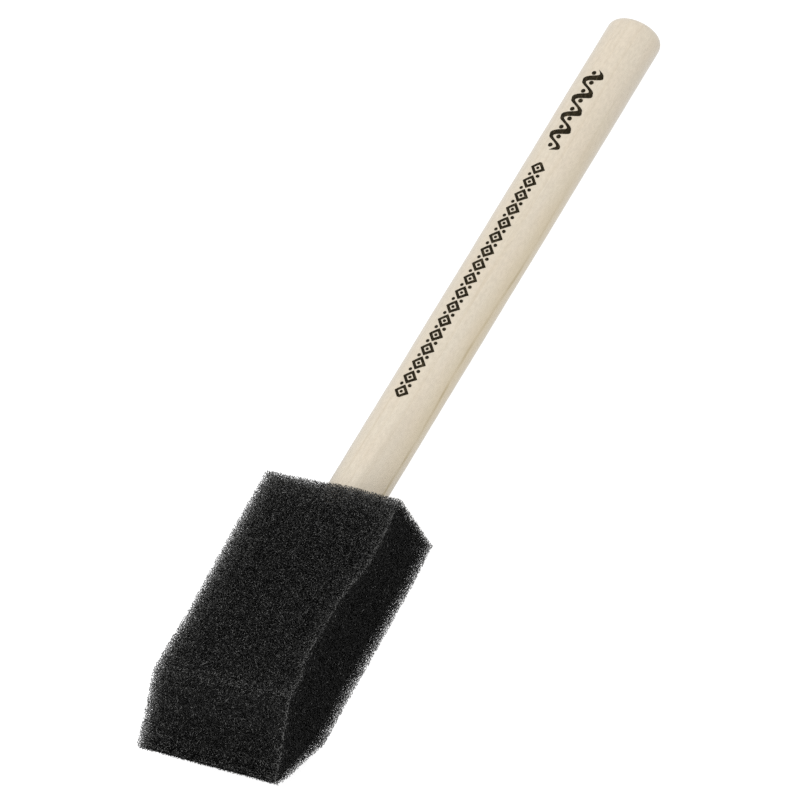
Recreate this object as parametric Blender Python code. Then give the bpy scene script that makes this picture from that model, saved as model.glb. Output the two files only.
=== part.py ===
"""Foam sponge brush, 1 1/2 inch size, lying on its back face.

A wooden dowel carries a flat plastic stiffener in a saw kerf, and a block of
open-cell foam with a chisel tip is pushed over both and held by two layers of
hot-melt adhesive.

Frame, in metres: +Y runs along the handle from the chisel tip to the dowel's
free end, +X across the foam, +Z out of the front face. The origin is under the
middle of the whole brush, on the plane of the back face.
"""

import math

import bmesh
import bpy

for leftover in list(bpy.data.objects):
    bpy.data.objects.remove(leftover)

MM = 0.001

# ---- driving dimensions -------------------------------------------------

HANDLE_DIAMETER = 12.4 * MM       # the half-inch dowel, sanded, that everything is sized from
HANDLE_EXPOSED = 130.0 * MM       # dowel outside the foam
HANDLE_INSERTED = 23.0 * MM       # dowel inside the foam
HANDLE_END_ROUND = 2.0 * MM       # radius round the free end
HANDLE_NOSE_CHAMFER = 1.0 * MM    # bevel round the end inside the foam

FOAM_WIDTH = 36.8 * MM
FOAM_THICKNESS = 16.6 * MM
FOAM_LENGTH = 66.2 * MM
BEVEL_LENGTH = 14.7 * MM          # chisel bevel, measured along the handle axis
TIP_THICKNESS = 1.6 * MM          # blunt edge left at the chisel tip

KERF_DEPTH = 16.0 * MM            # saw cut in the dowel's nose
KERF_WIDTH = 2.2 * MM

STIFFENER_THICKNESS = 1.6 * MM
STIFFENER_WIDTH = 26.0 * MM
STIFFENER_REACH = 45.0 * MM       # from the foam's rear face to the blade's front edge
STIFFENER_TAIL_WIDTH = 11.0 * MM  # the part held in the kerf
STIFFENER_CORNER = 5.0 * MM
SHOULDER_CORNER = 1.5 * MM
SHOULDER_GAP = 0.5 * MM           # blade shoulders to the dowel's nose
RIB_COUNT = 3
RIB_PITCH = 7.0 * MM
RIB_WIDTH = 1.2 * MM
RIB_HEIGHT = 0.4 * MM

GLUE_THICKNESS = 0.5 * MM
GLUE_WIDTH = 22.0 * MM
GLUE_CORNER = 3.0 * MM
GLUE_EDGE_MARGIN = 1.5 * MM       # glue stops short of the blade's ends

GAP = 0.3 * MM                    # clearance kept between touching pieces
ROUND_SEGMENTS = 64
CORNER_SEGMENTS = 6
CUT_OVERRUN = 1.0 * MM            # how far a cutter runs out of what it cuts

# ---- derived positions --------------------------------------------------

TOTAL_LENGTH = FOAM_LENGTH + HANDLE_EXPOSED
TIP_Y = -TOTAL_LENGTH / 2
BEVEL_START_Y = TIP_Y + BEVEL_LENGTH
FOAM_REAR_Y = TIP_Y + FOAM_LENGTH
HANDLE_END_Y = TOTAL_LENGTH / 2
HANDLE_NOSE_Y = FOAM_REAR_Y - HANDLE_INSERTED
KERF_END_Y = HANDLE_NOSE_Y + KERF_DEPTH
BLADE_FRONT_Y = FOAM_REAR_Y - STIFFENER_REACH
SHOULDER_Y = HANDLE_NOSE_Y - SHOULDER_GAP
AXIS_Z = FOAM_THICKNESS / 2
HANDLE_RADIUS = HANDLE_DIAMETER / 2
BLADE_HALF = STIFFENER_THICKNESS / 2
GLUE_INNER = BLADE_HALF + RIB_HEIGHT + GAP
POCKET_HALF = GLUE_INNER + GLUE_THICKNESS + GAP


# ---- helpers ------------------------------------------------------------

def material(name, color, roughness):
    """A Principled material with one plain colour."""
    mat = bpy.data.materials.new(name)
    mat.use_nodes = True
    shader = mat.node_tree.nodes["Principled BSDF"]
    shader.inputs["Base Color"].default_value = (*color, 1.0)
    shader.inputs["Roughness"].default_value = roughness
    mat.diffuse_color = (*color, 1.0)
    return mat


def add_object(name, mesh_builder, mat=None):
    """Link a bmesh as a named object, with its faces pointing out."""
    bmesh.ops.recalc_face_normals(mesh_builder, faces=mesh_builder.faces)
    mesh = bpy.data.meshes.new(name)
    mesh_builder.to_mesh(mesh)
    mesh_builder.free()
    if mat is not None:
        mesh.materials.append(mat)
    obj = bpy.data.objects.new(name, mesh)
    bpy.context.scene.collection.objects.link(obj)
    return obj


def plate(outline, thickness):
    """A bmesh slab: an outline in X and Y, thickened evenly about Z = 0."""
    builder = bmesh.new()
    bottom = [builder.verts.new((x, y, -thickness / 2)) for x, y in outline]
    face = builder.faces.new(bottom)
    extruded = bmesh.ops.extrude_face_region(builder, geom=[face])
    raised = [item for item in extruded["geom"] if isinstance(item, bmesh.types.BMVert)]
    bmesh.ops.translate(builder, vec=(0, 0, thickness), verts=raised)
    return builder


def corner_arc(center, radius, start_degrees, sweep=90.0):
    """Points of an arc, one more than CORNER_SEGMENTS, anticlockwise for a positive sweep."""
    points = []
    for step in range(CORNER_SEGMENTS + 1):
        angle = math.radians(start_degrees + sweep * step / CORNER_SEGMENTS)
        points.append((center[0] + radius * math.cos(angle), center[1] + radius * math.sin(angle)))
    return points


def rounded_rectangle(x_half, y_low, y_high, radius):
    """Outline of a rectangle with round corners, anticlockwise from its lower right."""
    corners = [
        ((x_half - radius, y_low + radius), -90),
        ((x_half - radius, y_high - radius), 0),
        ((-x_half + radius, y_high - radius), 90),
        ((-x_half + radius, y_low + radius), 180),
    ]
    outline = []
    for center, start in corners:
        outline += corner_arc(center, radius, start)
    return outline


def turned(profile):
    """A closed bmesh turned about the Y axis from (radius, y) points that end on the axis."""
    builder = bmesh.new()
    verts = [builder.verts.new((radius, y, 0)) for radius, y in profile]
    edges = [builder.edges.new(pair) for pair in zip(verts, verts[1:])]
    bmesh.ops.spin(
        builder, geom=verts + edges, cent=(0, 0, 0), axis=(0, 1, 0),
        angle=2 * math.pi, steps=ROUND_SEGMENTS,
    )
    bmesh.ops.remove_doubles(builder, verts=builder.verts, dist=0.001 * MM)
    return builder


def boolean(obj, cutter, operation):
    """Add an exact Boolean whose tool is hidden from the model."""
    modifier = obj.modifiers.new(cutter.name, "BOOLEAN")
    modifier.operation = operation
    modifier.solver = "EXACT"
    modifier.object = cutter
    cutter.hide_render = True
    cutter.display_type = "WIRE"


def shade_round(obj):
    """Smooth shading that keeps edges sharper than 30 degrees."""
    obj.data.shade_smooth()
    obj.data.set_sharp_from_angle(angle=math.radians(30))


# ---- pieces -------------------------------------------------------------

def make_handle(mat):
    """The dowel: rounded free end, chamfered nose and a saw kerf for the stiffener."""
    profile = [
        (0, HANDLE_NOSE_Y),
        (HANDLE_RADIUS - HANDLE_NOSE_CHAMFER, HANDLE_NOSE_Y),
        (HANDLE_RADIUS, HANDLE_NOSE_Y + HANDLE_NOSE_CHAMFER),
    ]
    round_center = (HANDLE_RADIUS - HANDLE_END_ROUND, HANDLE_END_Y - HANDLE_END_ROUND)
    profile += corner_arc(round_center, HANDLE_END_ROUND, 0)
    profile.append((0, HANDLE_END_Y))
    handle = add_object("handle", turned(profile), mat)
    handle.location.z = AXIS_Z
    shade_round(handle)

    width = HANDLE_DIAMETER + 2 * CUT_OVERRUN
    kerf_outline = [
        (-width / 2, HANDLE_NOSE_Y - CUT_OVERRUN),
        (width / 2, HANDLE_NOSE_Y - CUT_OVERRUN),
        (width / 2, KERF_END_Y),
        (-width / 2, KERF_END_Y),
    ]
    kerf = add_object("kerf_cutter", plate(kerf_outline, KERF_WIDTH))
    kerf.location.z = AXIS_Z
    boolean(handle, kerf, "DIFFERENCE")
    return handle


def stiffener_outline():
    """Paddle outline, anticlockwise: round front corners, shoulders, narrow tail."""
    half = STIFFENER_WIDTH / 2
    tail = STIFFENER_TAIL_WIDTH / 2
    tail_end = KERF_END_Y - GAP
    shoulder_x = half - SHOULDER_CORNER
    outline = corner_arc((half - STIFFENER_CORNER, BLADE_FRONT_Y + STIFFENER_CORNER), STIFFENER_CORNER, -90)
    outline += corner_arc((shoulder_x, SHOULDER_Y - SHOULDER_CORNER), SHOULDER_CORNER, 0)
    outline += [(tail, SHOULDER_Y), (tail, tail_end), (-tail, tail_end), (-tail, SHOULDER_Y)]
    outline += corner_arc((-shoulder_x, SHOULDER_Y - SHOULDER_CORNER), SHOULDER_CORNER, 90)
    outline += corner_arc((-half + STIFFENER_CORNER, BLADE_FRONT_Y + STIFFENER_CORNER), STIFFENER_CORNER, 180)
    return outline


def make_stiffener(mat):
    """The moulded blade that stiffens the foam, with ribs that key it to the glue."""
    blade = add_object("stiffener", plate(stiffener_outline(), STIFFENER_THICKNESS), mat)
    blade.location.z = AXIS_Z
    rib_low = BLADE_FRONT_Y + STIFFENER_CORNER / 2
    rib_high = SHOULDER_Y - SHOULDER_CORNER
    for index in range(RIB_COUNT):
        middle = (index - (RIB_COUNT - 1) / 2) * RIB_PITCH
        outline = [
            (middle - RIB_WIDTH / 2, rib_low),
            (middle + RIB_WIDTH / 2, rib_low),
            (middle + RIB_WIDTH / 2, rib_high),
            (middle - RIB_WIDTH / 2, rib_high),
        ]
        rib = add_object(f"rib_tool_{index + 1}", plate(outline, STIFFENER_THICKNESS + 2 * RIB_HEIGHT))
        rib.location.z = AXIS_Z
        boolean(blade, rib, "UNION")
    return blade


def make_glue(name, side, mat):
    """One film of hot-melt adhesive between the blade and the foam, on side +1 or -1."""
    outline = rounded_rectangle(
        GLUE_WIDTH / 2, BLADE_FRONT_Y + GLUE_EDGE_MARGIN, SHOULDER_Y - GLUE_EDGE_MARGIN, GLUE_CORNER,
    )
    film = add_object(name, plate(outline, GLUE_THICKNESS), mat)
    film.location.z = AXIS_Z + side * (GLUE_INNER + GLUE_THICKNESS / 2)
    return film


def foam_block():
    """The foam's outer shape: a side outline in Y and Z, swept across the width."""
    side_outline = [
        (FOAM_REAR_Y, 0),
        (FOAM_REAR_Y, FOAM_THICKNESS),
        (BEVEL_START_Y, FOAM_THICKNESS),
        (TIP_Y, AXIS_Z + TIP_THICKNESS / 2),
        (TIP_Y, AXIS_Z - TIP_THICKNESS / 2),
        (BEVEL_START_Y, 0),
    ]
    builder = bmesh.new()
    verts = [builder.verts.new((-FOAM_WIDTH / 2, y, z)) for y, z in side_outline]
    face = builder.faces.new(verts)
    extruded = bmesh.ops.extrude_face_region(builder, geom=[face])
    moved = [item for item in extruded["geom"] if isinstance(item, bmesh.types.BMVert)]
    bmesh.ops.translate(builder, vec=(FOAM_WIDTH, 0, 0), verts=moved)
    return builder


def make_foam_head(mat):
    """The foam block, with a round mouth for the dowel and a slot for the blade."""
    head = add_object("foam_head", foam_block(), mat)

    bore_radius = HANDLE_RADIUS + GAP
    bore_profile = [
        (0, HANDLE_NOSE_Y - GAP),
        (bore_radius, HANDLE_NOSE_Y - GAP),
        (bore_radius, FOAM_REAR_Y + CUT_OVERRUN),
        (0, FOAM_REAR_Y + CUT_OVERRUN),
    ]
    bore = add_object("bore_cutter", turned(bore_profile))
    bore.location.z = AXIS_Z
    boolean(head, bore, "DIFFERENCE")

    slot_outline = rounded_rectangle(
        STIFFENER_WIDTH / 2 + GAP, BLADE_FRONT_Y - GAP, HANDLE_NOSE_Y + GAP, SHOULDER_CORNER,
    )
    slot = add_object("slot_cutter", plate(slot_outline, 2 * POCKET_HALF))
    slot.location.z = AXIS_Z
    boolean(head, slot, "DIFFERENCE")
    return head


def build():
    """Make every piece and gather the named pieces under one empty."""
    foam = material("foam", (0.022, 0.022, 0.024), 0.95)
    wood = material("wood", (0.76, 0.69, 0.56), 0.55)
    plastic = material("stiffener_plastic", (0.80, 0.80, 0.77), 0.45)
    glue = material("hot_melt", (0.74, 0.68, 0.50), 0.35)

    pieces = [
        make_foam_head(foam),
        make_handle(wood),
        make_stiffener(plastic),
        make_glue("glue_front", 1, glue),
        make_glue("glue_back", -1, glue),
    ]
    brush = bpy.data.objects.new("brush", None)
    bpy.context.scene.collection.objects.link(brush)
    for piece in pieces:
        piece.parent = brush


build()
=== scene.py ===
"""Looks of the foam sponge brush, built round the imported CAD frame.

The foam is modelled as what it is: a random network of struts (the edges of a
Voronoi foam), cut off at the block's faces, over a dark inner body. The dowel
is bare birch with a stamped ornament that holds no letters.
"""

import math

import bmesh
import bpy
import numpy as np
from mathutils import Matrix, Vector


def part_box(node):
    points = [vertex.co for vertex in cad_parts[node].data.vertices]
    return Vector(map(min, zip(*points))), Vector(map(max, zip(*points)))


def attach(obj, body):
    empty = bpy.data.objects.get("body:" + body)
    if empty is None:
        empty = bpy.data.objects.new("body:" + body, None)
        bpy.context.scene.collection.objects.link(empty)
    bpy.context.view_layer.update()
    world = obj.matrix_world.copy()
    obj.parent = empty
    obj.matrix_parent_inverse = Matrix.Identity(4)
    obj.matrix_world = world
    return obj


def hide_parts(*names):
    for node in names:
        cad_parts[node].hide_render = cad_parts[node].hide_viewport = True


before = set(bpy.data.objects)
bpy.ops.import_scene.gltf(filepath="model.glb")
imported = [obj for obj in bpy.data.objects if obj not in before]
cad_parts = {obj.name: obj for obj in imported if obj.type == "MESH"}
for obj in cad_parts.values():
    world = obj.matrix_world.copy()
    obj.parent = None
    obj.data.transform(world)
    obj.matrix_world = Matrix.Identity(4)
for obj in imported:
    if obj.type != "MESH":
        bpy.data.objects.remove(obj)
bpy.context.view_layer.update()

MM = 0.001
ROOT = "root"

# ---- sizes, in millimetres, from the frame ------------------------------

foam_low, foam_high = [np.array(corner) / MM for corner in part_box("foam_head")]
handle_low, handle_high = [np.array(corner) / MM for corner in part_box("handle")]

FOAM_WIDTH, FOAM_LENGTH, FOAM_THICKNESS = foam_high - foam_low
REAR_Y = foam_high[1]
AXIS_Z = (handle_low[2] + handle_high[2]) / 2
HANDLE_RADIUS = (handle_high[0] - handle_low[0]) / 2
HANDLE_END_Y = handle_high[1]

BEVEL_LENGTH = 14.7               # the chisel bevel, as in part.py
TIP_THICKNESS = 1.6

# ---- the camera ---------------------------------------------------------

CAMERA_AZIMUTH = 57.4             # degrees from looking along +Y, towards +X
CAMERA_ELEVATION = 44.9
CAMERA_ROLL = -34.3               # the picture is turned, so that the handle runs to its upper right
CAMERA_DISTANCE = 1.5
CAMERA_TARGET = Vector((-3.06 * MM, -4.56 * MM, AXIS_Z * MM + 0.08 * MM))
LENS = 318.7                      # on the 36 mm sensor


def camera_axes():
    """Right, up and back of the camera, with its roll."""
    azimuth = math.radians(CAMERA_AZIMUTH)
    elevation = math.radians(CAMERA_ELEVATION)
    roll = math.radians(CAMERA_ROLL)
    back = Vector((
        math.sin(azimuth) * math.cos(elevation),
        -math.cos(azimuth) * math.cos(elevation),
        math.sin(elevation),
    ))
    level_right = Vector((math.cos(azimuth), math.sin(azimuth), 0))
    level_up = back.cross(level_right)
    right = math.cos(roll) * level_right + math.sin(roll) * level_up
    up = -math.sin(roll) * level_right + math.cos(roll) * level_up
    return right, up, back


def make_camera():
    right, up, back = camera_axes()
    data = bpy.data.cameras.new("camera")
    data.lens = LENS
    data.sensor_width = 36
    data.clip_start = 0.01
    data.clip_end = 20
    camera = bpy.data.objects.new("camera", data)
    bpy.context.scene.collection.objects.link(camera)
    turn = Matrix((right, up, back)).transposed().to_4x4()
    camera.matrix_world = Matrix.Translation(CAMERA_TARGET + back * CAMERA_DISTANCE) @ turn
    bpy.context.scene.camera = camera


# ---- helpers ------------------------------------------------------------

def new_material(name, color, roughness, specular=0.5):
    """A material with one Principled shader; returns it with its node tree and shader."""
    mat = bpy.data.materials.new(name)
    mat.use_nodes = True
    tree = mat.node_tree
    shader = tree.nodes["Principled BSDF"]
    shader.inputs["Base Color"].default_value = (*color, 1.0)
    shader.inputs["Roughness"].default_value = roughness
    shader.inputs["Specular IOR Level"].default_value = specular
    mat.diffuse_color = (*color, 1.0)
    return mat, tree, shader


def mesh_from_arrays(name, points, triangles, material_index=None, smooth=True):
    """An object from arrays of points, in millimetres, and triangles."""
    mesh = bpy.data.meshes.new(name)
    mesh.vertices.add(len(points))
    mesh.vertices.foreach_set("co", (points * MM).astype(np.float32).ravel())
    mesh.loops.add(3 * len(triangles))
    mesh.loops.foreach_set("vertex_index", triangles.astype(np.int32).ravel())
    mesh.polygons.add(len(triangles))
    mesh.polygons.foreach_set("loop_start", np.arange(0, 3 * len(triangles), 3, dtype=np.int32))
    if material_index is not None:
        mesh.polygons.foreach_set("material_index", material_index.astype(np.int32))
    mesh.polygons.foreach_set("use_smooth", np.full(len(triangles), smooth))
    mesh.update(calc_edges=True)
    obj = bpy.data.objects.new(name, mesh)
    bpy.context.scene.collection.objects.link(obj)
    return obj


def box_mesh(name, low, high):
    """A closed box between two corners, in millimetres."""
    steps, quads = box_grid((1, 1, 1))
    points = np.array(low) + steps * (np.array(high) - low)
    triangles = np.concatenate([quads[:, [0, 1, 2]], quads[:, [0, 2, 3]]])
    return mesh_from_arrays(name, points, triangles, smooth=False)


def carve(obj, *cutters):
    """Cut closed meshes out of obj for good, and delete them."""
    for cutter in cutters:
        modifier = obj.modifiers.new("cut", "BOOLEAN")
        modifier.operation = "DIFFERENCE"
        modifier.solver = "MANIFOLD"  # EXACT gives up on the foam's core
        modifier.object = cutter
    bpy.context.view_layer.update()
    done = bpy.data.meshes.new_from_object(obj.evaluated_get(bpy.context.evaluated_depsgraph_get()))
    obj.modifiers.clear()
    obj.data = done
    for cutter in cutters:
        bpy.data.objects.remove(cutter)


# ---- the foam block's shape ---------------------------------------------
#
# Block coordinates, in millimetres: u across from the middle, v from the tip
# towards the handle, w from the middle plane towards the front face.

HEAD_YAW = 2.2                    # degrees that the glued-on head leans across the handle
HEAD_SHIFT = 0.66
REAR_TRIM = 0.22                  # the rear is cut a little short,
REAR_SKEW = 0.0098                # and askew
HALF = np.array([FOAM_WIDTH / 2, FOAM_LENGTH, FOAM_THICKNESS / 2])
SHELL_DEPTH = 0.85                # of open struts over the dark inner body, under the middle of a face
GROUND_GAP = 0.11                 # kept under the middles of the back face's struts
EDGE_ROUNDING = 1.9               # how much deeper they go along the sharp edges, where light shows through
DENSER = {                        # how much thinner a face's open shell is
    "back": 1.3, "bevel_back": 4.0, "tip": 5.0, "right": 1.25, "left": 0.65, "rear": 0.68,
}
TIP_DENSER = 2.5                  # and every face has one near the chisel tip, which the knife pressed shut

# How the real block strays from a plain one. A stretch along it runs from the
# tip: where the change starts, is full, begins to fade, is gone.
FRONT_TILT = 0.9                  # of the front face, down at the left and up at the right
SWELL_STRETCH = (19, 25, 40, 49)  # of the front right edge, where the stiffener inside ends
SWELL_UP = 0.8
SWELL_IN = 0.9
TIP_SLANT = 0.95                  # of the chisel tip, up at the left and down at the right
TIP_EXTRA = 0.25                  # that the tip is longer than the block
BELLY_STRETCH = (0, 4, 12, 20)    # of the back right edge, which hangs lower
BELLY = 0.4
NARROWING = 1.13                  # of the left side at the tip,
NARROWING_REACH = 14              # and how far from the tip it is felt
BULGE_STRETCH = (8, 17, 20, 30)   # of the left side, behind the bevel
BULGE = 0.55
REAR_RIGHT_IN = 0.85              # how far the front face's right edge stands in at the rear,
REAR_BACK_LESS = 0.4              # and how much less the back face's does
REAR_LOW_CUT = 0.45               # how much shorter the rear is at its lower right corner
PUSHED_OUT = 0.45                 # how far the dowel pushes the rear out,
PUSHED_AT = 4                     # where across the block,
PUSHED_WIDTH = 8                  # and over what width


def block_planes():
    """Unit normals and offsets of the block's eight faces."""
    drop = (FOAM_THICKNESS - TIP_THICKNESS) / 2
    slope = math.hypot(drop, BEVEL_LENGTH)
    bevel = np.array([0, -drop, BEVEL_LENGTH]) / slope
    bevel_offset = BEVEL_LENGTH * TIP_THICKNESS / 2 / slope
    faces = {
        "front": ((0, 0, 1), FOAM_THICKNESS / 2),
        "back": ((0, 0, -1), FOAM_THICKNESS / 2),
        "right": ((1, 0, 0), FOAM_WIDTH / 2),
        "left": ((-1, 0, 0), FOAM_WIDTH / 2),
        "rear": ((0, 1, 0), FOAM_LENGTH),
        "tip": ((0, -1, 0), 0.0),
        "bevel_front": (bevel, bevel_offset),
        "bevel_back": (bevel * (1, 1, -1), bevel_offset),
    }
    names = list(faces)
    normals = np.array([faces[name][0] for name in names], float)
    offsets = np.array([faces[name][1] for name in names], float)
    density = np.array([DENSER.get(name, 1.0) for name in names])
    return names, normals, offsets, density


FACE_NAMES, FACE_NORMALS, FACE_OFFSETS, FACE_DENSITY = block_planes()


def depth_outside(points):
    """Signed distance to each face for block points; the largest is the block's own."""
    return points @ FACE_NORMALS.T - FACE_OFFSETS


def rounded_depth(points):
    """Depth of block points below a copy of the block with rounded edges, and its gradient."""
    near_tip = TIP_DENSER + (1 - TIP_DENSER) * smoothstep(points[:, 1], 0.5, 4.0)
    density = near_tip[:, None] * FACE_DENSITY
    pull = np.exp(depth_outside(points) * density / EDGE_ROUNDING)
    total = pull.sum(axis=1, keepdims=True)
    return -EDGE_ROUNDING * np.log(total[:, 0]), -(pull / total * density) @ FACE_NORMALS


def smoothstep(value, low, high):
    t = np.clip((value - low) / (high - low), 0, 1)
    return t * t * (3 - 2 * t)


def stretch_share(along, stretch):
    """1 on a stretch of the block and 0 off it, with soft ends."""
    start, full, fading, gone = stretch
    return smoothstep(along, start, full) * (1 - smoothstep(along, fading, gone))


def shape_block(points):
    """Block points to their place on the real, hand-cut block, in the frame."""
    u, v, w = points.T.copy()
    across = u / (FOAM_WIDTH / 2)
    raised = np.clip(w / FOAM_THICKNESS + 0.5, 0, 1)

    # The front face isn't quite parallel to the back: lower at the left, higher at the right.
    tilt = FRONT_TILT * across * (1 - smoothstep(v, BEVEL_LENGTH, 0.9 * FOAM_LENGTH))
    # The front right edge swells where the stiffener inside ends.
    swell = stretch_share(v, SWELL_STRETCH)
    rightness = smoothstep(across, 0, 1)
    body = smoothstep(v, 0, BEVEL_LENGTH)
    z = w + raised * body * (tilt + SWELL_UP * swell * rightness)
    x = u - raised * (SWELL_IN * swell * smoothstep(across, 0.2, 1.0))
    # The chisel tip is cut a little askew, and the back right edge hangs lower behind it.
    z = z - (1 - body) * TIP_SLANT * across
    z = z - BELLY * (1 - raised) * rightness * stretch_share(v, BELLY_STRETCH)
    v = v - TIP_EXTRA * (1 - smoothstep(v, 0, 6))
    # The left side narrows towards the tip and bulges behind the bevel.
    left = np.clip(-across, 0, 1)
    narrowing = NARROWING * (1 - smoothstep(v, 0, NARROWING_REACH))
    x = x + left * (narrowing - BULGE * stretch_share(v, BULGE_STRETCH))
    # The rear is cut askew too, most at its lower right corner, which also stands in a little.
    lower_right = (1 - raised) * rightness
    stands_in = REAR_RIGHT_IN - REAR_BACK_LESS * (1 - raised)
    x = x - stands_in * rightness * smoothstep(v, 0.82 * FOAM_LENGTH, FOAM_LENGTH)
    # Round the dowel it is pushed out instead.
    pushed = PUSHED_OUT * np.exp(-((u - PUSHED_AT) / PUSHED_WIDTH) ** 2)
    cut = REAR_TRIM + REAR_SKEW * u + REAR_LOW_CUT * lower_right - pushed
    v = v - cut * smoothstep(v, FOAM_LENGTH / 3, FOAM_LENGTH)
    # Nothing sags into the ground: the struts on the back face rest on it with their full thickness.
    z = np.maximum(z, GROUND_GAP - AXIS_Z)

    yaw = math.radians(HEAD_YAW)
    along = v - FOAM_LENGTH
    return np.stack([
        x * math.cos(yaw) - along * math.sin(yaw) + HEAD_SHIFT,
        REAR_Y + x * math.sin(yaw) + along * math.cos(yaw),
        AXIS_Z + z,
    ], axis=1)


# ---- the strut network --------------------------------------------------

CELL = 0.70                       # millimetres between cells on the seed lattice
TILE_CELLS = 7                    # the network repeats after this many, turned out of line with the block
TILE_TURN = (0.61, 0.37, 0.9)     # radians about X, Z and Y
SEED_JITTER = 0.24
WOBBLE = (0.32, 0.22)             # how far the network is bent out of true, in long and in shorter waves
WOBBLE_WAVES = ((6.1, 0.3), (7.3, 1.7), (5.3, 4.1))  # length and phase along each axis
SHORTER_WAVE = 0.63
NEIGHBOURS = 26                   # nearest seeds that can bound a cell
STRUT_HALF_WIDTH = 0.0505
STRUT_SPREAD = (0.75, 1.3)        # least and most of that on any one strut
SHORTEST_STRUT = 0.09
EDGE_STOUT = 0.55                 # how much thicker the struts are at an edge
EDGE_REACH = 0.9                  # and how far in from it
PAINTED_RIGHT_HIGHLIGHT = (0.55, 0.45)        # painted highlight: share of the struts turned light along the right edges, and how far in
PAINTED_BEVEL_HIGHLIGHT = (0.17, 0.9)         # painted highlight: the same where the bevel meets the front
PAINTED_EDGE_GLOW = {                          # painted light showing through: share of the front's struts turned light beside an edge, and how far in
    "right": (0.16, 1.6), "left": (0.78, 2.2), "rear": (0.7, 1.9), "tip": (0.2, 1.7),
}
TONES = (0.11, 0.28, 0.0)         # shares of light, middling and even struts, scattered at random; the rest are dark. The light and middling ones are partly painted glints
# Painted shade: the sides and the bevel get fewer light struts and more even ones, so they read darker and
# smoother than the front.
PAINTED_FACE_SHADE = {"right": (0.015, 0.12, 0.6), "left": (0.015, 0.12, 0.6), "bevel_front": (0.065, 0.22, 0.3)}
STRETCH_ENDS = (0.36, 0.58, 0.79)  # where the pieces end, as shares of the block's length
FOAM_SEED = 7


def seed_points(rng):
    """Jittered body-centred lattice in one periodic tile, in cells."""
    steps = np.arange(TILE_CELLS)
    grid = np.stack(np.meshgrid(steps, steps, steps, indexing="ij"), axis=-1).reshape(-1, 3).astype(float)
    seeds = np.concatenate([grid, grid + 0.5])
    return seeds + rng.uniform(-SEED_JITTER, SEED_JITTER, seeds.shape)


def cell_corners(normals):
    """Corners of one Voronoi cell round the origin, with the three faces that meet at each."""
    reach = (normals ** 2).sum(axis=1) / 2
    count = len(normals)
    first, second, third = np.array([
        (a, b, c) for a in range(count) for b in range(a + 1, count) for c in range(b + 1, count)
    ]).T
    na, nb, nc = normals[first], normals[second], normals[third]
    bc = np.cross(nb, nc)
    volume = (na * bc).sum(axis=1)
    good = np.abs(volume) > 1e-6
    first, second, third = first[good], second[good], third[good]
    na, nb, nc, bc, volume = na[good], nb[good], nc[good], bc[good], volume[good]
    corners = (
        reach[first, None] * bc
        + reach[second, None] * np.cross(nc, na)
        + reach[third, None] * np.cross(na, nb)
    ) / volume[:, None]
    inside = (corners @ normals.T - reach).max(axis=1) < 1e-7
    return corners[inside], np.stack([first, second, third], axis=1)[inside]


def foam_tile(rng):
    """Edges (pairs of end points) of a periodic Voronoi foam, in cells."""
    seeds = seed_points(rng)
    shifts = np.array([(x, y, z) for x in (-1, 0, 1) for y in (-1, 0, 1) for z in (-1, 0, 1)]) * TILE_CELLS
    everywhere = (seeds[None] + shifts[:, None]).reshape(-1, 3)
    owner = np.tile(np.arange(len(seeds)), len(shifts))
    edges = []
    for index, seed in enumerate(seeds):
        offsets = everywhere - seed
        distance = (offsets ** 2).sum(axis=1)
        nearest = np.argsort(distance)[1:NEIGHBOURS + 1]
        corners, faces = cell_corners(offsets[nearest])
        ends = {}
        for corner, trio in zip(corners, faces):
            for skipped in range(3):
                pair = tuple(np.delete(trio, skipped))
                ends.setdefault(pair, []).append(corner)
        for pair, found in ends.items():
            owners = owner[nearest[list(pair)]]
            if len(found) == 2 and index < owners.min():
                edges.append((seed + found[0], seed + found[1]))
    return np.array(edges)


def wobble(points):
    """A slow wavy shift that hides the tile's repeats."""
    shift = np.zeros_like(points)
    for axis, (wave, phase) in enumerate(WOBBLE_WAVES):
        source = points[:, (axis + 1) % 3]
        other = points[:, (axis + 2) % 3]
        shift[:, axis] = WOBBLE[0] * np.sin(source * 2 * math.pi / wave + phase)
        shift[:, axis] += WOBBLE[1] * np.sin(other * 2 * math.pi / (wave * SHORTER_WAVE) + 2 * phase)
    return points + shift


def tile_over_block(tile):
    """The tile's edges repeated over the block's shell, in block millimetres."""
    size = TILE_CELLS * CELL
    about_x, about_z, about_y = (Matrix.Rotation(angle, 3, axis) for angle, axis in zip(TILE_TURN, "XZY"))
    turn = np.array(about_x @ about_z @ about_y)
    center = np.array([0, FOAM_LENGTH / 2, 0])
    reach = np.linalg.norm(HALF * (1, 0.5, 1)) + size
    steps = np.arange(-math.ceil(reach / size), math.ceil(reach / size) + 1)
    places = np.stack(np.meshgrid(steps, steps, steps, indexing="ij"), axis=-1).reshape(-1, 3) * size
    middles = (places + size / 2) @ turn.T + center
    outside = depth_outside(middles).max(axis=1)
    radius = size * math.sqrt(3) / 2 + CELL
    places = places[(outside < radius) & (outside > -radius - 3 * SHELL_DEPTH)]
    local = (tile * CELL).reshape(-1, 3)
    kept = []
    for place in places:
        points = wobble((local + place) @ turn.T + center)
        outside = depth_outside(points).max(axis=1).reshape(-1, 2)
        pairs = points.reshape(-1, 2, 3)
        depth, _ = rounded_depth(pairs.mean(axis=1))
        kept.append(pairs[(outside.min(axis=1) < 0) & (depth < SHELL_DEPTH)])
    return np.concatenate(kept)


def cut_at_faces(edges):
    """Cut each strut that crosses a face where it crosses."""
    start, end = edges[:, 0].copy(), edges[:, 1].copy()
    for index in range(len(FACE_NAMES)):
        a = start @ FACE_NORMALS[index] - FACE_OFFSETS[index]
        b = end @ FACE_NORMALS[index] - FACE_OFFSETS[index]
        share = a / np.where(np.abs(a - b) < 1e-9, 1e-9, a - b)
        crossing = start + share[:, None] * (end - start)
        start = np.where(((a > 0) & (b < 0))[:, None], crossing, start)
        end = np.where(((b > 0) & (a < 0))[:, None], crossing, end)
    return np.stack([start, end], axis=1)


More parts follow.
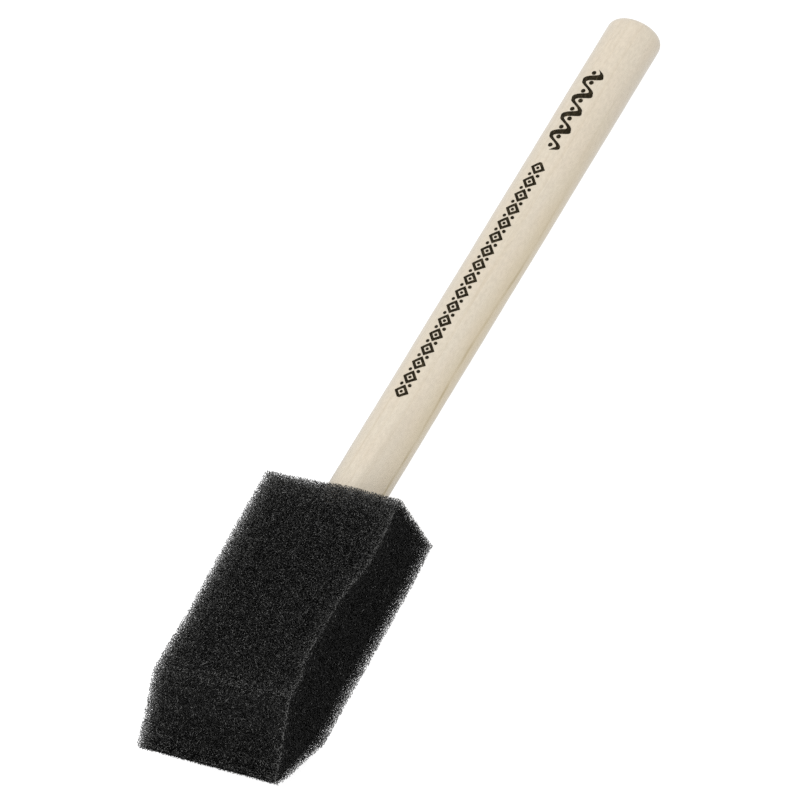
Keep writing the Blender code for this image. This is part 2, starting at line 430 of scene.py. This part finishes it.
def clear_of_dowel(edges):
    """Drop the struts in the hole that the dowel fills."""
    placed = shape_block(edges.reshape(-1, 3))
    distance = np.hypot(placed[:, 0], placed[:, 2] - AXIS_Z).reshape(-1, 2).min(axis=1)
    beyond = placed[:, 1].reshape(-1, 2).max(axis=1) < handle_low[1]
    return edges[beyond | (distance > HANDLE_RADIUS + STRUT_HALF_WIDTH)]


def strut_mesh(face, part, edges, rng, materials):
    """One slim closed sliver of four triangles for each strut."""
    start, end = shape_block(edges[:, 0]), shape_block(edges[:, 1])
    along = end - start
    along /= np.linalg.norm(along, axis=1, keepdims=True)
    random = rng.normal(size=along.shape)
    side_a = np.cross(along, random)
    side_a /= np.linalg.norm(side_a, axis=1, keepdims=True)
    side_b = np.cross(along, side_a)
    # The struts along the block's edges are the stoutest, and those of its right edges are more often
    # turned light, a painted highlight.
    depths = depth_outside(edges.mean(axis=1))
    below = {name: depths[:, index] for index, name in enumerate(FACE_NAMES)}
    outside = np.sort(depths, axis=1)[:, -2]
    others = np.delete(depths, FACE_NAMES.index("right"), axis=1).max(axis=1)
    right_highlight_depth = np.minimum(others, below["right"])
    stout = 1 + EDGE_STOUT * np.exp(outside / EDGE_REACH)
    half = (STRUT_HALF_WIDTH * rng.uniform(*STRUT_SPREAD, len(start)) * stout)[:, None]
    points = np.stack([
        start + half * side_a, start - half * side_a, end + half * side_b, end - half * side_b,
    ], axis=1).reshape(-1, 3)
    first = 4 * np.arange(len(start))[:, None, None]
    pattern = np.array([(0, 1, 2), (0, 3, 1), (0, 2, 3), (1, 3, 2)])
    triangles = (first + pattern).reshape(-1, 3)
    # Painted highlight: struts near the right edges are drawn in the light tone more often.
    luck = rng.uniform(size=len(start)) - PAINTED_RIGHT_HIGHLIGHT[0] * np.exp(right_highlight_depth / PAINTED_RIGHT_HIGHLIGHT[1])
    if face in ("front", "bevel_front"):
        # Painted highlight along the crease where the bevel meets the front.
        crease = np.minimum(below["front"], below["bevel_front"])
        luck -= PAINTED_BEVEL_HIGHLIGHT[0] * np.exp(crease / PAINTED_BEVEL_HIGHLIGHT[1])
        # Painted glow: the front's struts are drawn light beside its edges, where light would show through.
        for edge, (share, reach) in PAINTED_EDGE_GLOW.items():
            luck -= share * np.exp(below[edge] / reach)
    # The sides' and bevel's own tone shares are painted shade.
    tone = np.searchsorted(np.cumsum(PAINTED_FACE_SHADE.get(face, TONES)), luck)
    obj = mesh_from_arrays(f"foam_{face}_{part}", points, triangles, np.repeat(tone, 4), smooth=False)
    for material in materials:
        obj.data.materials.append(material)
    return obj


def make_struts(materials):
    """The strut shell, one piece for each stretch of the block's surface."""
    rng = np.random.default_rng(FOAM_SEED)
    edges = tile_over_block(foam_tile(rng))
    edges = cut_at_faces(edges)
    length = np.linalg.norm(edges[:, 1] - edges[:, 0], axis=1)
    edges = edges[length > SHORTEST_STRUT]
    edges = clear_of_dowel(edges)
    middle = edges.mean(axis=1)
    nearest = np.argmax(depth_outside(middle), axis=1)
    stretch = np.digitize(middle[:, 1] / FOAM_LENGTH, STRETCH_ENDS)
    pieces = []
    for index, face in enumerate(FACE_NAMES):
        for place, part in enumerate("abcd"):
            members = edges[(nearest == index) & (stretch == place)]
            if len(members):
                pieces.append(strut_mesh(face, part, members, rng, materials))
    return pieces


# ---- the foam's dark inner body -----------------------------------------

CORE_STEPS = (26, 46, 12)         # grid cells across, along and through the block
CORE_SINKINGS = 12                # rounds of moving the block's surface down to the core's
POCKET_GAP = 0.3                  # kept free round the pieces inside the foam
HOLE_SEGMENTS = 48
HOLE_PAST_REAR = 5.0              # so that the hole's cutter comes well out of the foam
inner_boxes = [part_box(node) for node in ("stiffener", "glue_front", "glue_back")]
inner_low = np.min([low for low, high in inner_boxes], axis=0) / MM
inner_high = np.max([high for low, high in inner_boxes], axis=0) / MM
blade_low = inner_low - POCKET_GAP
blade_high = np.array([inner_high[0], handle_low[1], inner_high[2]]) + POCKET_GAP


def box_grid(steps):
    """Points (as whole steps) and quads of a box's closed surface grid, faces outward."""
    index = {}
    points = []

    def point(place):
        if place not in index:
            index[place] = len(points)
            points.append(place)
        return index[place]

    quads = []
    for axis in range(3):
        first, second = (axis + 1) % 3, (axis + 2) % 3
        for side in (0, steps[axis]):
            for i in range(steps[first]):
                for j in range(steps[second]):
                    corners = []
                    for di, dj in ((0, 0), (1, 0), (1, 1), (0, 1)):
                        place = [0, 0, 0]
                        place[axis], place[first], place[second] = side, i + di, j + dj
                        corners.append(point(tuple(place)))
                    quads.append(corners if side else corners[::-1])
    return np.array(points, float), np.array(quads)


def dowel_hole():
    """A closed cylinder a little wider than the dowel, from its nose to outside the foam."""
    count = HOLE_SEGMENTS
    angles = np.arange(count) * 2 * math.pi / count
    radius = HANDLE_RADIUS + POCKET_GAP
    rim = np.stack([radius * np.cos(angles), np.zeros(count), AXIS_Z + radius * np.sin(angles)], axis=1)
    low, high = handle_low[1] - POCKET_GAP, REAR_Y + HOLE_PAST_REAR
    middles = [[0, low, AXIS_Z], [0, high, AXIS_Z]]
    points = np.concatenate([rim + (0, low, 0), rim + (0, high, 0), middles])
    a = np.arange(count)
    b = (a + 1) % count
    low_middle, high_middle = np.full(count, 2 * count), np.full(count, 2 * count + 1)
    triangles = np.concatenate([
        np.stack([a, a + count, b + count], axis=1),
        np.stack([a, b + count, b], axis=1),
        np.stack([low_middle, a, b], axis=1),
        np.stack([high_middle, b + count, a + count], axis=1),
    ])
    return mesh_from_arrays("hole", points, triangles, smooth=False)


def make_core(mat):
    """The dark inside of the foam: the block's surface, sunk to the bottom of the strut shell."""
    steps, quads = box_grid(CORE_STEPS)
    share = steps / CORE_STEPS
    v = share[:, 1] * FOAM_LENGTH
    half_w = np.minimum(
        FOAM_THICKNESS / 2,
        TIP_THICKNESS / 2 + v * (FOAM_THICKNESS - TIP_THICKNESS) / 2 / BEVEL_LENGTH,
    )
    points = np.stack([(share[:, 0] - 0.5) * FOAM_WIDTH, v, (2 * share[:, 2] - 1) * half_w], axis=1)
    for _ in range(CORE_SINKINGS):
        depth, slope = rounded_depth(points)
        points += slope * ((SHELL_DEPTH - depth) / (slope ** 2).sum(axis=1))[:, None]
    triangles = np.concatenate([quads[:, [0, 1, 2]], quads[:, [0, 2, 3]]])
    core = mesh_from_arrays("foam_core", shape_block(points), triangles)
    core.data.materials.append(mat)
    carve(core, dowel_hole(), box_mesh("slot", blade_low, blade_high))
    return core


# ---- the dowel ----------------------------------------------------------

DOWEL_SEGMENTS = 160
END_ROUND = 2.5                   # fillet round the free end
END_SLANT = math.tan(math.radians(4.0))  # the free end was sawn a little askew
SLANT_REACH = 7.0
NOSE_CHAMFER = 1.0
KERF_DEPTH = 16.0                 # as in part.py, with the stiffener's tail in it
KERF_WIDTH = 2.2
LOWER_RIGHT = np.array([0.764, -0.646])  # in X and Z, across the dowel; its end stands highest there


def dowel_profile():
    """Radius and place along the axis of each ring, from the nose to the free end."""
    rings = [(HANDLE_RADIUS - NOSE_CHAMFER, handle_low[1]), (HANDLE_RADIUS, handle_low[1] + NOSE_CHAMFER)]
    straight_end = HANDLE_END_Y - END_ROUND
    rings += [(HANDLE_RADIUS, y) for y in np.linspace(rings[-1][1], straight_end, 76)[1:]]
    for angle in np.linspace(0, math.pi / 2, 13)[1:]:
        rings.append((
            HANDLE_RADIUS - END_ROUND + END_ROUND * math.cos(angle),
            straight_end + END_ROUND * math.sin(angle),
        ))
    rings += [(HANDLE_RADIUS - END_ROUND - step, HANDLE_END_Y) for step in (1.4, 2.8)]
    return rings


def make_dowel(mat):
    """The turned dowel, with its free end askew and the saw kerf in its nose."""
    rings = dowel_profile()
    angles = np.arange(DOWEL_SEGMENTS) * 2 * math.pi / DOWEL_SEGMENTS
    points = []
    for radius, y in rings:
        # Planer marks: the radius wanders by a few hundredths of a millimetre.
        ripple = 0.012 * np.sin(y * 0.9 + 1.5 * np.sin(angles)) + 0.015 * np.sin(y * 0.21 + 2 * angles)
        reach = radius + (ripple - 0.01) * (radius > HANDLE_RADIUS - 0.5)
        ring = [reach * np.cos(angles), np.full(DOWEL_SEGMENTS, y), reach * np.sin(angles)]
        points.append(np.stack(ring, axis=1))
    points = np.concatenate(points + [[[0, rings[0][1], 0]], [[0, rings[-1][1], 0]]])
    lift = END_SLANT * (points[:, [0, 2]] @ LOWER_RIGHT - HANDLE_RADIUS / 2)
    points[:, 1] += lift * smoothstep(points[:, 1], HANDLE_END_Y - SLANT_REACH, HANDLE_END_Y)
    points[:, 2] += AXIS_Z

    around = np.arange(DOWEL_SEGMENTS)
    after = (around + 1) % DOWEL_SEGMENTS
    triangles = []
    for ring in range(len(rings) - 1):
        a, b = ring * DOWEL_SEGMENTS + around, ring * DOWEL_SEGMENTS + after
        c, d = b + DOWEL_SEGMENTS, a + DOWEL_SEGMENTS
        triangles += [np.stack([a, d, c], axis=1), np.stack([a, c, b], axis=1)]
    low, high = len(points) - 2, len(points) - 1
    last = (len(rings) - 1) * DOWEL_SEGMENTS
    triangles.append(np.stack([np.full(DOWEL_SEGMENTS, low), around, after], axis=1))
    triangles.append(np.stack([np.full(DOWEL_SEGMENTS, high), last + after, last + around], axis=1))
    dowel = mesh_from_arrays("dowel", points, np.concatenate(triangles))
    dowel.data.materials.append(mat)
    nose = handle_low[1]
    kerf = box_mesh("kerf", (-HANDLE_RADIUS - 1, nose - 1, AXIS_Z - KERF_WIDTH / 2),
                    (HANDLE_RADIUS + 1, nose + KERF_DEPTH, AXIS_Z + KERF_WIDTH / 2))
    carve(dowel, kerf)
    return dowel


# ---- the stamped ornament -----------------------------------------------
#
# Drawn on a flat strip, in millimetres along the handle and across it, as a
# distance that is negative inside the ink, and wrapped round the dowel.

INK_ANGLE = math.radians(10.0)    # of the strip's middle, from straight up towards +X
INK_LIFT = (0.01, 0.035)          # under side and top of the ink over the dowel
INK_STEP = 0.11
VINE = (60.0, 82.4)               # from and to, along the handle
VINE_WAVE = 4.98
VINE_SWAY = 1.5
VINE_WEIGHT = (0.52, 0.24)        # the stroke's half thickness, and how much it swells and thins
VINE_DOT = 0.52                   # radius
BAND = (-5.7, 55.0)
BAND_PITCH = 3.79
LOZENGE = (0.94, 0.32)            # from its middle to the middle of its line, and the line's half thickness
HEART_DOT = 0.36
GAP_DOTS = (1.0, 0.41)            # their place across the band, and their radius


def vine(along, across):
    """A winding brush stroke, thick and thin, with a dot in each bend."""
    turn = along / VINE_WAVE * 2 * math.pi
    inside = np.minimum(along, VINE[1] - VINE[0] - along)
    slope = VINE_SWAY * 2 * math.pi / VINE_WAVE * np.cos(turn)
    weight = (VINE_WEIGHT[0] + VINE_WEIGHT[1] * np.cos(turn)) * smoothstep(inside, -0.2, 1.5)
    stroke = np.abs(across - VINE_SWAY * np.sin(turn)) / np.sqrt(1 + slope ** 2) - weight
    bend = np.floor(along / (VINE_WAVE / 2))
    side = np.where(bend % 2 == 0, -1.0, 1.0)
    dot = np.hypot(along - (bend + 0.5) * VINE_WAVE / 2, across - 0.35 * side) - VINE_DOT
    return np.maximum(np.minimum(stroke, dot), -inside)


def band(along, across):
    """A row of lozenges, each with a dot in it, and pairs of dots in the gaps between them."""
    step = (along + BAND_PITCH / 2) % BAND_PITCH - BAND_PITCH / 2
    lozenge = np.abs((np.abs(step) + np.abs(across)) / math.sqrt(2) - LOZENGE[0]) - LOZENGE[1]
    heart = np.hypot(step, across) - HEART_DOT
    pair = np.hypot(np.abs(step) - BAND_PITCH / 2, np.abs(across) - GAP_DOTS[0]) - GAP_DOTS[1]
    length = round((BAND[1] - BAND[0]) / BAND_PITCH) * BAND_PITCH
    ends = np.maximum(-along, along - length) - 1.5
    return np.maximum(np.minimum(np.minimum(lozenge, heart), pair), ends)


def stamp(name, drawing, span, half_height, mat):
    """The drawing's inside as a thin closed solid round the dowel."""
    along = np.arange(-1.6, span[1] - span[0] + 1.6, INK_STEP)
    across = np.arange(-half_height, half_height, INK_STEP)
    grid = np.stack(np.meshgrid(along, across, indexing="ij"), axis=-1).reshape(-1, 2)
    value = drawing(grid[:, 0], grid[:, 1])
    rows, columns = len(along), len(across)
    corner = (np.arange(rows - 1)[:, None] * columns + np.arange(columns - 1)).reshape(-1)
    halves = np.concatenate([
        np.stack([corner, corner + columns, corner + columns + 1], axis=1),
        np.stack([corner, corner + columns + 1, corner + 1], axis=1),
    ])
    builder = bmesh.new()
    made = {}

    def vert(first, second=None):
        key = (first, first) if second is None else (min(first, second), max(first, second))
        if key not in made:
            a, b = key
            share = 0.0 if a == b else value[a] / (value[a] - value[b])
            made[key] = builder.verts.new((*(grid[a] + share * (grid[b] - grid[a])), 0))
        return made[key]

    for trio in halves[(value[halves] < 0).any(axis=1)].tolist():
        outline = []
        for here, there in zip(trio, trio[1:] + trio[:1]):
            if value[here] < 0:
                outline.append(vert(here))
            if (value[here] < 0) != (value[there] < 0):
                outline.append(vert(here, there))
        if len(outline) > 2:
            builder.faces.new(outline)
    bmesh.ops.remove_doubles(builder, verts=builder.verts, dist=0.004)
    bmesh.ops.triangulate(builder, faces=builder.faces)
    top = bmesh.ops.extrude_face_region(builder, geom=list(builder.faces))["geom"]
    for item in top:
        if isinstance(item, bmesh.types.BMVert):
            item.co.z = 1.0
    bmesh.ops.recalc_face_normals(builder, faces=builder.faces)
    for item in builder.verts:
        radius = HANDLE_RADIUS + INK_LIFT[1 if item.co.z > 0.5 else 0]
        angle = INK_ANGLE + item.co.y / HANDLE_RADIUS
        item.co = Vector((
            radius * math.sin(angle), span[0] + item.co.x, AXIS_Z + radius * math.cos(angle),
        )) * MM
    mesh = bpy.data.meshes.new(name)
    bmesh.ops.recalc_face_normals(builder, faces=builder.faces)
    builder.to_mesh(mesh)
    builder.free()
    mesh.materials.append(mat)
    obj = bpy.data.objects.new(name, mesh)
    bpy.context.scene.collection.objects.link(obj)
    return obj


# ---- materials ----------------------------------------------------------

class Graph:
    """Adds shader nodes to a material, working in millimetres of the object's own space."""

    def __init__(self, tree):
        self.tree = tree
        place = self.node("ShaderNodeTexCoord").outputs["Object"]
        self.place = self.math("MULTIPLY", place, (1 / MM, 1 / MM, 1 / MM), vector=True)

    def node(self, kind, inputs=None, **settings):
        made = self.tree.nodes.new(kind)
        for key, value in settings.items():
            setattr(made, key, value)
        for key, value in (inputs or {}).items():
            self.feed(made.inputs[key], value)
        return made

    def feed(self, socket, value):
        if isinstance(value, bpy.types.NodeSocket):
            self.tree.links.new(value, socket)
        else:
            socket.default_value = value

    def math(self, operation, first, second=0.0, vector=False, clamp=False):
        kind = "ShaderNodeVectorMath" if vector else "ShaderNodeMath"
        made = self.node(kind, {0: first, 1: second}, operation=operation)
        if clamp:
            made.use_clamp = True
        return made.outputs[0]

    def product(self, first, *others):
        for other in others:
            first = self.math("MULTIPLY", first, other)
        return first

    def stretched(self, scale):
        return self.math("MULTIPLY", self.place, scale, vector=True)

    def noise(self, scale, detail=2.0, roughness=0.5, offset=0.0):
        """Noise from 0 to 1 with its scale given per millimetre along each axis."""
        vector = self.math("ADD", self.stretched(scale), (offset, offset, offset), vector=True)
        inputs = {"Vector": vector, "Scale": 1.0, "Detail": detail, "Roughness": roughness}
        return self.node("ShaderNodeTexNoise", inputs).outputs["Fac"]

    def span(self, value, low, high, to_low=0.0, to_high=1.0):
        """value taken from low..high to to_low..to_high, and kept there."""
        inputs = {"Value": value, "From Min": low, "From Max": high, "To Min": to_low, "To Max": to_high}
        return self.node("ShaderNodeMapRange", inputs, clamp=True).outputs["Result"]

    def blend(self, amount, first, second):
        made = self.node("ShaderNodeMix", data_type="RGBA")
        self.feed(made.inputs["Factor"], amount)
        self.feed(made.inputs[6], first)
        self.feed(made.inputs[7], second)
        return made.outputs[2]

    def bump(self, height, strength, distance):
        """A normal from a height of 0 to 1, which stands for distance in millimetres."""
        inputs = {"Height": height, "Strength": strength, "Distance": distance * MM}
        return self.node("ShaderNodeBump", inputs).outputs["Normal"]


def rgba(red, green, blue):
    return (red, green, blue, 1.0)


def strut_materials():
    tones = (                     # name, brightness, roughness, gloss
        # the light and middling tones are partly painted glints on the black foam, and the even tone serves
        # the painted shade of the sides and bevel
        ("foam_strut_light", 0.165, 0.3, 0.5),
        ("foam_strut_mid", 0.035, 0.36, 0.4),
        ("foam_strut_even", 0.019, 0.45, 0.2),
        ("foam_strut_dark", 0.004, 0.45, 0.2),
    )
    return [
        new_material(name, (value, value, value * 0.97), rough, gloss)[0]
        for name, value, rough, gloss in tones
    ]


def core_material():
    """Near black, with the deeper struts as a faint net: the foam's own black and painted shade of the deep
    pores.
    """
    mat, tree, shader = new_material("foam_core", (0.002, 0.002, 0.002), 0.9, 0.05)
    graph = Graph(tree)
    inputs = {"Vector": graph.place, "Scale": 1 / CELL, "Randomness": 1.0}
    gap = graph.node("ShaderNodeTexVoronoi", inputs, feature="DISTANCE_TO_EDGE").outputs["Distance"]
    net = graph.span(gap, 0.02, 0.12, 1.0, 0.0)
    patch = graph.noise((1.3, 1.3, 1.3), 2.0)
    net = graph.math("MULTIPLY", net, graph.span(patch, 0.35, 0.65))
    # the near black between the net's lines is painted shade in the pores
    color = graph.blend(net, rgba(0.0006, 0.0006, 0.0006), rgba(0.008, 0.008, 0.008))
    graph.feed(shader.inputs["Base Color"], color)
    graph.feed(shader.inputs["Normal"], graph.bump(net, 0.5, 0.2))
    return mat


LINE_HEIGHT = -0.4                # of the olive line over the dowel's axis


def flank(graph):
    """The dowel's right side, which is yellower over its lower two thirds."""
    place = graph.node("ShaderNodeSeparateXYZ", {0: graph.place})
    low = graph.span(graph.math("SUBTRACT", place.outputs["Z"], AXIS_Z), 0.4, 3.6, 1.0, 0.0)
    right = graph.span(place.outputs["X"], 2.0, 4.0)
    start = graph.span(place.outputs["Y"], -30.0, -8.0, 0.4, 1.0)
    stop = graph.span(place.outputs["Y"], 45.0, 80.0, 1.0, 0.0)
    return graph.product(low, right, start, stop)


def mineral_line(graph):
    """One long olive line in the grain, on the dowel's right side, from the foam to halfway up."""
    place = graph.node("ShaderNodeSeparateXYZ", {0: graph.place})
    sway = graph.span(graph.noise((0.0, 0.04, 0.0), 2.0, 0.5, 8.3), 0.0, 1.0, -1.0, 1.0)
    from_bow = graph.math("ABSOLUTE", graph.math("SUBTRACT", place.outputs["Y"], 14.0))
    bow = graph.span(from_bow, 3.0, 24.0, 0.85, 0.0)
    height = graph.math("ADD", graph.math("SUBTRACT", place.outputs["Z"], AXIS_Z + LINE_HEIGHT), sway)
    height = graph.math("SUBTRACT", height, bow)
    line = graph.span(graph.math("ABSOLUTE", height), 0.1, 0.55, 1.0, 0.0)
    right = graph.span(place.outputs["X"], 2.0, 4.0)
    reach = graph.span(place.outputs["Y"], 35.0, 60.0, 1.0, 0.0)
    broken = graph.span(graph.noise((0.0, 0.12, 0.0), 2.0, 0.5, 2.9), 0.35, 0.6, 0.3, 1.0)
    return graph.product(line, right, reach, broken)


def painted_shade_by_foam(graph):
    """Painted shade: a darker strip on the dowel's upper right, for some way out of the foam."""
    place = graph.node("ShaderNodeSeparateXYZ", {0: graph.place})
    height = graph.math("SUBTRACT", place.outputs["Z"], AXIS_Z)
    around = graph.math(
        "ADD",
        graph.math("MULTIPLY", place.outputs["X"], float(LOWER_RIGHT[0])),
        graph.math("MULTIPLY", height, float(LOWER_RIGHT[1])),
    )
    ragged = graph.span(graph.noise((0.5, 0.1, 0.5), 3.0, 0.6, 13.1), 0.3, 0.7, -0.8, 0.8)
    around = graph.math("ADD", around, ragged)
    start = graph.span(around, -1.0, 0.2)
    stop = graph.span(around, 0.8, 4.4, 1.0, 0.0)
    reach = graph.span(place.outputs["Y"], -16.0, 0.0, 1.0, 0.0)
    return graph.product(start, stop, reach)


def wood_material():
    """Bare birch: rings round a pith outside the dowel, fine fibre, short pores, soft tints."""
    mat, tree, shader = new_material("birch", (0.72, 0.63, 0.5), 0.5, 0.4)
    shader.inputs["Sheen Weight"].default_value = 0.8
    shader.inputs["Sheen Roughness"].default_value = 0.4
    graph = Graph(tree)
    wave = graph.node("ShaderNodeTexWave", {
        "Vector": graph.math("ADD", graph.stretched((1.0, 0.055, 1.0)), (17.0, 0.0, -9.0), vector=True),
        "Scale": 0.16, "Distortion": 2.4, "Detail": 2.0, "Detail Scale": 0.35,
    }, wave_type="RINGS", rings_direction="Y", wave_profile="SAW").outputs["Fac"]
    ring = graph.span(wave, 0.7, 1.0)
    fibre = graph.noise((5.5, 0.16, 5.5), 4.0, 0.62)
    hair = graph.noise((13.0, 0.3, 13.0), 2.0, 0.5, 3.7)
    pore = graph.span(graph.noise((9.0, 0.55, 9.0), 1.0, 0.4, 11.3), 0.66, 0.74)
    cloud = graph.noise((0.16, 0.05, 0.16), 2.0, 0.5, 5.1)
    tint = graph.noise((0.22, 0.09, 0.22), 1.0, 0.5, 21.7)
    mottle = graph.span(graph.noise((1.8, 0.9, 1.8), 2.0, 0.55, 41.3), 0.35, 0.65)
    streak = graph.span(graph.noise((0.85, 0.022, 0.85), 2.0, 0.5, 31.9), 0.6, 0.74)

    color = graph.blend(graph.span(tint, 0.35, 0.65), rgba(0.799, 0.722, 0.593), rgba(0.811, 0.718, 0.584))
    color = graph.blend(graph.span(cloud, 0.3, 0.7, 0.0, 0.35), color, rgba(0.779, 0.685, 0.535))
    color = graph.blend(graph.math("MULTIPLY", mottle, 0.4), color, rgba(0.612, 0.55, 0.448))
    color = graph.blend(graph.math("MULTIPLY", ring, 0.16), color, rgba(0.56, 0.45, 0.30))
    color = graph.blend(graph.span(fibre, 0.3, 0.7, 0.0, 0.17), color, rgba(0.60, 0.49, 0.345))
    color = graph.blend(graph.math("MULTIPLY", streak, 0.16), color, rgba(0.50, 0.41, 0.26))
    color = graph.blend(graph.math("MULTIPLY", pore, 0.14), color, rgba(0.42, 0.33, 0.21))
    # Painted shade on the dowel beside the foam.
    color = graph.blend(graph.math("MULTIPLY", painted_shade_by_foam(graph), 0.36), color, rgba(0.60, 0.53, 0.42))
    color = graph.blend(graph.math("MULTIPLY", flank(graph), 0.45), color, rgba(0.715, 0.59, 0.36))
    color = graph.blend(graph.math("MULTIPLY", mineral_line(graph), 0.6), color, rgba(0.44, 0.34, 0.155))
    # End grain drinks more dirt than the sides.
    facing = graph.node("ShaderNodeSeparateXYZ", {0: graph.node("ShaderNodeNewGeometry").outputs["Normal"]})
    end = graph.span(graph.math("ABSOLUTE", facing.outputs["Y"]), 0.6, 0.95, 0.0, 0.45)
    color = graph.blend(end, color, rgba(0.60, 0.50, 0.36))
    graph.feed(shader.inputs["Base Color"], color)
    graph.feed(shader.inputs["Roughness"], graph.span(fibre, 0.3, 0.7, 0.44, 0.56))
    relief = graph.math("SUBTRACT", graph.math("ADD", fibre, hair), pore)
    graph.feed(shader.inputs["Normal"], graph.bump(relief, 0.12, 0.03))
    return mat


def ink_material():
    """Stamped ink that sank unevenly into the wood."""
    mat, tree, shader = new_material("stamp_ink", (0.02, 0.016, 0.011), 0.6, 0.06)
    graph = Graph(tree)
    thin = graph.span(graph.noise((2.2, 0.9, 2.2), 3.0, 0.6), 0.5, 0.78)
    color = graph.blend(thin, rgba(0.017, 0.0127, 0.0055), rgba(0.10, 0.078, 0.043))
    graph.feed(shader.inputs["Base Color"], color)
    graph.feed(shader.inputs["Roughness"], graph.span(thin, 0.0, 1.0, 0.55, 0.7))
    return mat


def plastic_material():
    """Off-white moulded polystyrene, a little cloudy."""
    mat, tree, shader = new_material("stiffener_plastic", (0.8, 0.8, 0.77), 0.42)
    graph = Graph(tree)
    cloud = graph.noise((0.15, 0.15, 0.15), 3.0)
    color = graph.blend(cloud, rgba(0.83, 0.83, 0.8), rgba(0.76, 0.76, 0.72))
    graph.feed(shader.inputs["Base Color"], color)
    graph.feed(shader.inputs["Roughness"], graph.span(graph.noise((1.5, 1.5, 1.5)), 0.3, 0.7, 0.36, 0.5))
    return mat


def glue_material():
    """Amber hot-melt adhesive, squeezed unevenly."""
    mat, tree, shader = new_material("hot_melt", (0.74, 0.68, 0.5), 0.3)
    graph = Graph(tree)
    flow = graph.noise((0.3, 0.3, 0.3), 3.0, 0.55)
    color = graph.blend(flow, rgba(0.80, 0.74, 0.56), rgba(0.64, 0.56, 0.36))
    graph.feed(shader.inputs["Base Color"], color)
    graph.feed(shader.inputs["Roughness"], graph.span(flow, 0.3, 0.7, 0.22, 0.4))
    graph.feed(shader.inputs["Normal"], graph.bump(flow, 0.4, 0.2))
    return mat


def white_floor():
    mat, tree, shader = new_material("floor", (0.35, 0.35, 0.35), 0.9, 0.0)
    shader.inputs["Emission Color"].default_value = (1, 1, 1, 1)
    shader.inputs["Emission Strength"].default_value = 0.9
    return mat


# ---- stage --------------------------------------------------------------

COVE_RADIUS = 3.5                 # metres to the studio's round wall, which the floor curves up into
COVE_BEND = 1.0
COVE_HEIGHT = 3.0
COVE_STEPS = 96


def make_floor():
    """A round white floor that curves up into a wall, so that no horizon shows."""
    outline = [(0, 0)]
    for turn in np.linspace(0, math.pi / 2, 13):
        outline.append((
            COVE_RADIUS - COVE_BEND + COVE_BEND * math.sin(turn),
            COVE_BEND * (1 - math.cos(turn)),
        ))
    outline.append((COVE_RADIUS, COVE_HEIGHT))
    builder = bmesh.new()
    verts = [builder.verts.new((reach, 0, height)) for reach, height in outline]
    edges = [builder.edges.new(pair) for pair in zip(verts, verts[1:])]
    bmesh.ops.spin(
        builder, geom=verts + edges, axis=(0, 0, 1), cent=(0, 0, 0), angle=2 * math.pi, steps=COVE_STEPS,
    )
    bmesh.ops.remove_doubles(builder, verts=builder.verts, dist=1e-5)
    mesh = bpy.data.meshes.new("floor")
    builder.to_mesh(mesh)
    builder.free()
    mesh.shade_smooth()
    floor = bpy.data.objects.new("floor", mesh)
    bpy.context.scene.collection.objects.link(floor)
    floor.location.z = -0.05 * MM
    mesh.materials.append(white_floor())
    # The floor is brighter than the wall of light round it, so it isn't let light the brush from below.
    floor.visible_diffuse = False
    floor.visible_glossy = False


KEY_DISTANCE = 1.2
KEY_TURN = 7.0                    # degrees from straight up towards +X
KEY_SIZE = 1.0
KEY_POWER = 3.95
WORLD_LIGHT = 0.79


def make_lights():
    world = bpy.data.worlds.new("world")
    bpy.context.scene.world = world
    world.use_nodes = True
    background = world.node_tree.nodes["Background"]
    background.inputs["Color"].default_value = (1, 1, 1, 1)
    background.inputs["Strength"].default_value = WORLD_LIGHT
    turn = math.radians(KEY_TURN)
    direction = Vector((math.sin(turn), -0.15, math.cos(turn))).normalized()
    data = bpy.data.lights.new("key", "AREA")
    data.shape = "DISK"
    data.size = KEY_SIZE
    data.energy = KEY_POWER
    key = bpy.data.objects.new("key", data)
    bpy.context.scene.collection.objects.link(key)
    key.location = CAMERA_TARGET + direction * KEY_DISTANCE
    key.rotation_euler = direction.to_track_quat("Z", "Y").to_euler()


# ---- put it together ----------------------------------------------------

make_camera()
make_floor()
make_lights()
bpy.context.scene.view_settings.view_transform = "Standard"
bpy.context.scene.cycles.use_denoising = False  # it would smear the struts, which are under a pixel wide

dowel = make_dowel(wood_material())
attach(dowel, ROOT)
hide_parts("handle")

ink = ink_material()
for name, drawing, span, half_height in (
    ("stamped_vine", vine, VINE, 2.3),
    ("stamped_band", band, BAND, 2.0),
):
    ornament = stamp(name, drawing, span, half_height, ink)
    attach(ornament, ROOT)

glue = glue_material()
for node, material in (("stiffener", plastic_material()), ("glue_front", glue), ("glue_back", glue)):
    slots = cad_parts[node].data.materials
    slots.clear()
    slots.append(material)

core = make_core(core_material())
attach(core, ROOT)
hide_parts("foam_head")
for struts in make_struts(strut_materials()):
    struts.parent = core
